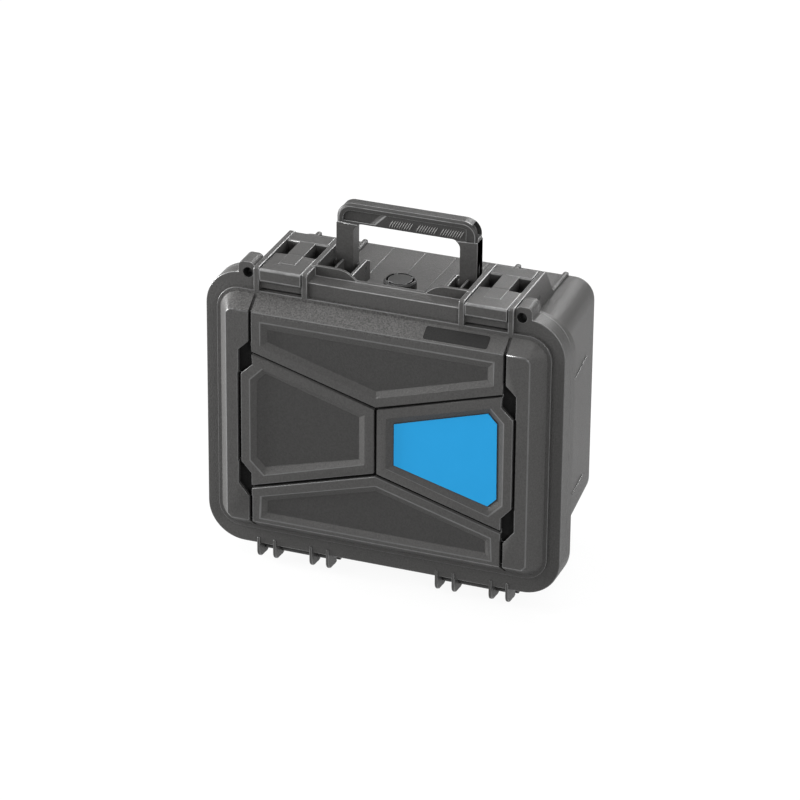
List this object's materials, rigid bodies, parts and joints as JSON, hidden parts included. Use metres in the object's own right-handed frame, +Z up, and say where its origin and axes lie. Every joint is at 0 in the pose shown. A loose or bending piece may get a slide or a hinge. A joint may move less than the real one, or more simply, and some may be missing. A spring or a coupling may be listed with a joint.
{
  "type": "hard tool case",
  "caption": "Moulded hard case with hinged lid, two-piece latches, folding carry handle, pressure valve and padlock eyes.",
  "frame": {"origin": "middle of the bounding box at the floor, under the case as it stands on its hinge side", "axes": "+X to the right seen from the lid side, +Y from the lid to the back of the base, +Z up towards the carry handle"},
  "size_m": [0.336, 0.1754, 0.3416],
  "materials": {
    "shell": "fine-grained anthracite moulding",
    "latch": "fine-grained dark moulding",
    "grip": "soft-touch dark cover",
    "valve": "satin dark moulding",
    "rubber": "matt black",
    "steel": "plain turned pin",
    "plate": "bare blue sheet, satin"
  },
  "bodies": {
    "base": {"base_shell": "shell", "hinge_pin_left": "steel", "hinge_pin_right": "steel", "pivot_pin_left": "steel", "pivot_pin_right": "steel", "valve_body": "valve", "valve_cap": "valve", "valve_membrane": "rubber", "valve_seal": "rubber", "valve_nut": "valve"},
    "lid": {"lid_shell": "shell", "lid_seal": "rubber", "front_plate": "plate", "name_plate": "latch"},
    "arm_left": {"latch_arm_left": "latch", "link_pin_left": "steel"},
    "arm_right": {"latch_arm_right": "latch", "link_pin_right": "steel"},
    "claw_left": {"latch_claw_left": "latch"},
    "claw_right": {"latch_claw_right": "latch"},
    "handle": {"handle_frame": "latch", "handle_grip": "grip"}
  },
  "joints": [
    {"name": "lid_hinge", "type": "hinge", "parent": "base", "child": "lid", "pos_m": [0, -0.05265, 0.012], "axis": [1, 0, 0], "range_deg": [0, 105]},
    {"name": "latch_left_arm_pivot", "type": "hinge", "parent": "base", "child": "arm_left", "pos_m": [-0.0958, -0.00465, 0.2766], "axis": [-1, 0, 0], "range_deg": [0, 70]},
    {"name": "latch_right_arm_pivot", "type": "hinge", "parent": "base", "child": "arm_right", "pos_m": [0.0958, -0.00465, 0.2766], "axis": [-1, 0, 0], "range_deg": [0, 70]},
    {"name": "latch_left_claw_pivot", "type": "hinge", "parent": "arm_left", "child": "claw_left", "pos_m": [-0.0958, -0.03265, 0.28695], "axis": [-1, 0, 0], "range_deg": [0, 30]},
    {"name": "latch_right_claw_pivot", "type": "hinge", "parent": "arm_right", "child": "claw_right", "pos_m": [0.0958, -0.03265, 0.28695], "axis": [-1, 0, 0], "range_deg": [0, 30]},
    {"name": "handle_pivot", "type": "hinge", "parent": "base", "child": "handle", "pos_m": [0, -0.00465, 0.2766], "axis": [-1, 0, 0], "range_deg": [0, 90]}
  ]
}
